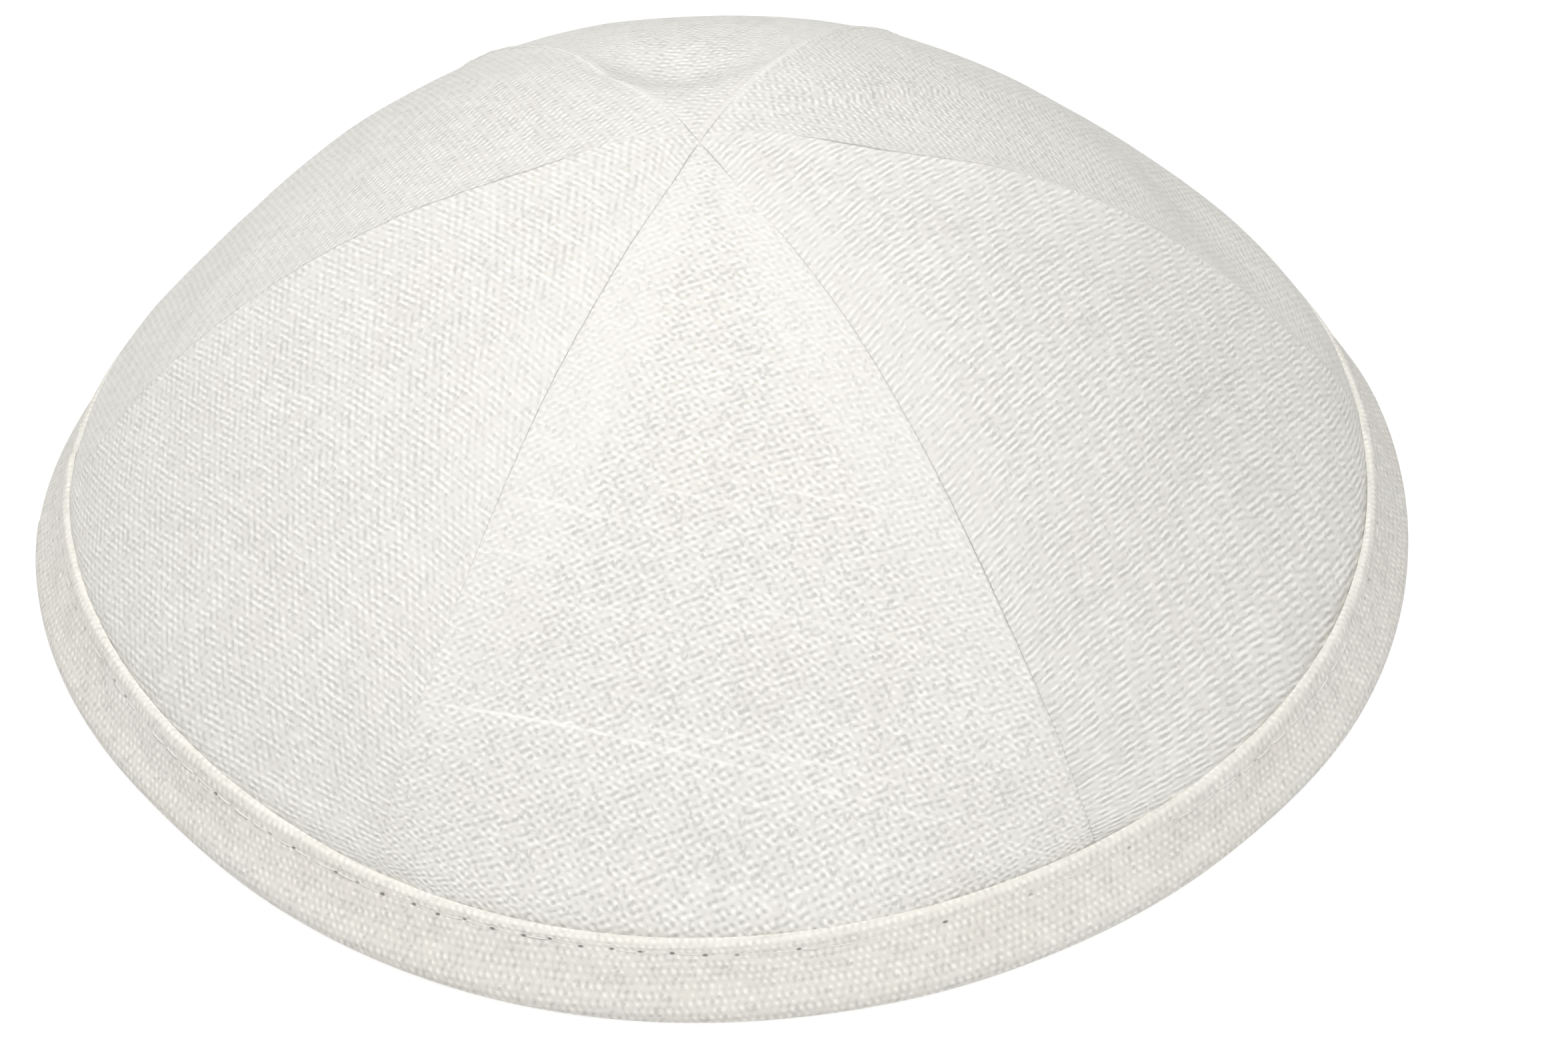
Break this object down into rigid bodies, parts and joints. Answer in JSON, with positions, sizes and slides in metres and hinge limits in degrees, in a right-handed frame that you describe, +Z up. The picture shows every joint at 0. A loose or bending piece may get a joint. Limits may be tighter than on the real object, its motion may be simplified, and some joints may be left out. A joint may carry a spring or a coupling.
{
  "type": "kippah skullcap",
  "caption": "Domed skullcap of sewn linen gores that meet at the crown's top, with a folded bias band binding its rim.",
  "frame": {"origin": "on the surface that the cap stands on, under the middle of the rim", "axes": "+Z up, from the rim to the crown's top; the front panel faces -Y; +X to the right seen from the front"},
  "size_m": [0.172, 0.173, 0.0629],
  "materials": {
    "panel_linen": "ivory plain-weave linen, matte",
    "band_linen": "ivory plain-weave linen on the bias, matte"
  },
  "bodies": {
    "root": {"panel_front": "panel_linen", "panel_front_right": "panel_linen", "panel_back_right": "panel_linen", "panel_back": "panel_linen", "panel_back_left": "panel_linen", "panel_front_left": "panel_linen", "rim_band": "band_linen"}
  },
  "joints": []
}
